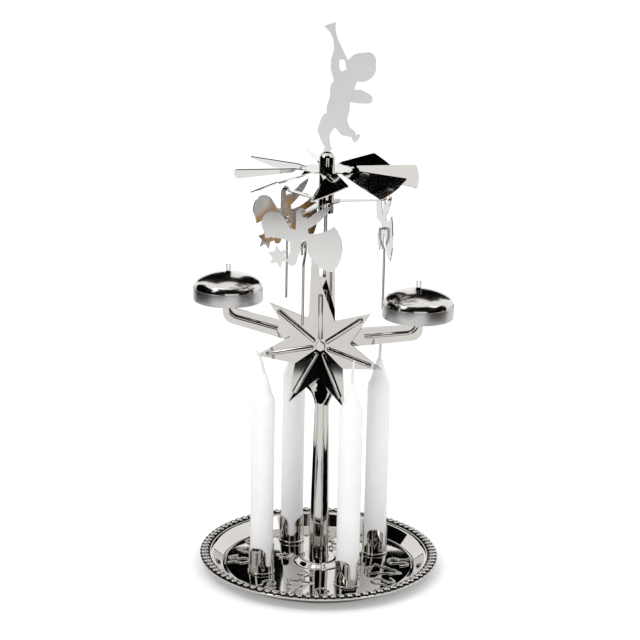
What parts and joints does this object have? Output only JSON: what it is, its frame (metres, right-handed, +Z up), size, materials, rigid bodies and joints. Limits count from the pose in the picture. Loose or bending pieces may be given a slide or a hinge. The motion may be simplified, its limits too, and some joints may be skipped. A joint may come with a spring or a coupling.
{
  "type": "angel chime carousel",
  "caption": "Candle-driven chime carousel: candle cups on a round tray, a column with a star and side bells, and a bladed rotor with hanging angels and strikers.",
  "frame": {"origin": "middle of the tray's foot ring, on the surface that it stands on", "axes": "+Z up along the column and the rotor's axis, -Y towards the face of the star, +X towards the right-hand bell"},
  "size_m": [0.142, 0.1312, 0.2989],
  "materials": {
    "plated_steel": "bright nickel-coloured plating on pressed sheet",
    "bell_metal": "bright dome and satin skirt",
    "bright_steel": "drawn wire and rivets",
    "bearing_brass": "turned",
    "wax": "white wax",
    "cotton": "braided wick"
  },
  "bodies": {
    "stand": {"base_tray": "plated_steel", "candle_cup_front_left": "plated_steel", "candle_cup_front_right": "plated_steel", "candle_cup_back_right": "plated_steel", "candle_cup_back_left": "plated_steel", "cup_rivets": "bright_steel", "column": "plated_steel", "bell_arms": "plated_steel", "star": "plated_steel", "star_rivet": "bright_steel", "needle": "bright_steel"},
    "rotor": {"hub_tube": "plated_steel", "pivot_bearing": "bearing_brass", "turbine_wheel": "plated_steel", "angel_carrier": "plated_steel", "trumpet_angel": "plated_steel"},
    "left_bell": {"bell_left": "bell_metal"},
    "right_bell": {"bell_right": "bell_metal"},
    "front_angel": {"flying_angel_front": "plated_steel"},
    "front_striker": {"striker_front": "bright_steel"},
    "left_angel": {"flying_angel_left": "plated_steel"},
    "left_striker": {"striker_left": "bright_steel"},
    "right_angel": {"flying_angel_right": "plated_steel"},
    "right_striker": {"striker_right": "bright_steel"},
    "front_left_candle": {"candle_front_left": "wax", "wick_front_left": "cotton"},
    "front_right_candle": {"candle_front_right": "wax", "wick_front_right": "cotton"},
    "back_right_candle": {"candle_back_right": "wax", "wick_back_right": "cotton"},
    "back_left_candle": {"candle_back_left": "wax", "wick_back_left": "cotton"}
  },
  "joints": [
    {"name": "rotor_spin", "type": "hinge", "parent": "stand", "child": "rotor", "pos_m": [0, 0, 0.2262], "axis": [0, 0, 1], "continuous": true},
    {"name": "left_bell_turn", "type": "hinge", "parent": "stand", "child": "left_bell", "pos_m": [-0.0522, -0.0042, 0.162], "axis": [0, 0, 1], "continuous": true},
    {"name": "right_bell_turn", "type": "hinge", "parent": "stand", "child": "right_bell", "pos_m": [0.0522, -0.0042, 0.162], "axis": [0, 0, 1], "continuous": true},
    {"name": "front_angel_rock", "type": "hinge", "parent": "rotor", "child": "front_angel", "pos_m": [-0.00279, -0.03188, 0.20435], "axis": [-0.0872, -0.9962, 0], "range_deg": [-3, 3]},
    {"name": "front_striker_swing", "type": "hinge", "parent": "front_angel", "child": "front_striker", "pos_m": [-0.00279, -0.03188, 0.18965], "axis": [-0.0872, -0.9962, 0], "range_deg": [-4, 4]},
    {"name": "left_angel_rock", "type": "hinge", "parent": "rotor", "child": "left_angel", "pos_m": [-0.02621, 0.01835, 0.20435], "axis": [-0.8192, 0.5736, 0], "range_deg": [-3, 3]},
    {"name": "left_striker_swing", "type": "hinge", "parent": "left_angel", "child": "left_striker", "pos_m": [-0.02621, 0.01835, 0.18965], "axis": [-0.8192, 0.5736, 0], "range_deg": [-4, 4]},
    {"name": "right_angel_rock", "type": "hinge", "parent": "rotor", "child": "right_angel", "pos_m": [0.029, 0.01352, 0.20435], "axis": [0.9063, 0.4226, 0], "range_deg": [-3, 3]},
    {"name": "right_striker_swing", "type": "hinge", "parent": "right_angel", "child": "right_striker", "pos_m": [0.029, 0.01352, 0.18965], "axis": [0.9063, 0.4226, 0], "range_deg": [-4, 4]},
    {"name": "front_left_candle_lift", "type": "slide", "parent": "stand", "child": "front_left_candle", "axis": [0, 0, 1], "range_m": [0, 0.016]},
    {"name": "front_right_candle_lift", "type": "slide", "parent": "stand", "child": "front_right_candle", "axis": [0, 0, 1], "range_m": [0, 0.016]},
    {"name": "back_right_candle_lift", "type": "slide", "parent": "stand", "child": "back_right_candle", "axis": [0, 0, 1], "range_m": [0, 0.016]},
    {"name": "back_left_candle_lift", "type": "slide", "parent": "stand", "child": "back_left_candle", "axis": [0, 0, 1], "range_m": [0, 0.016]}
  ]
}
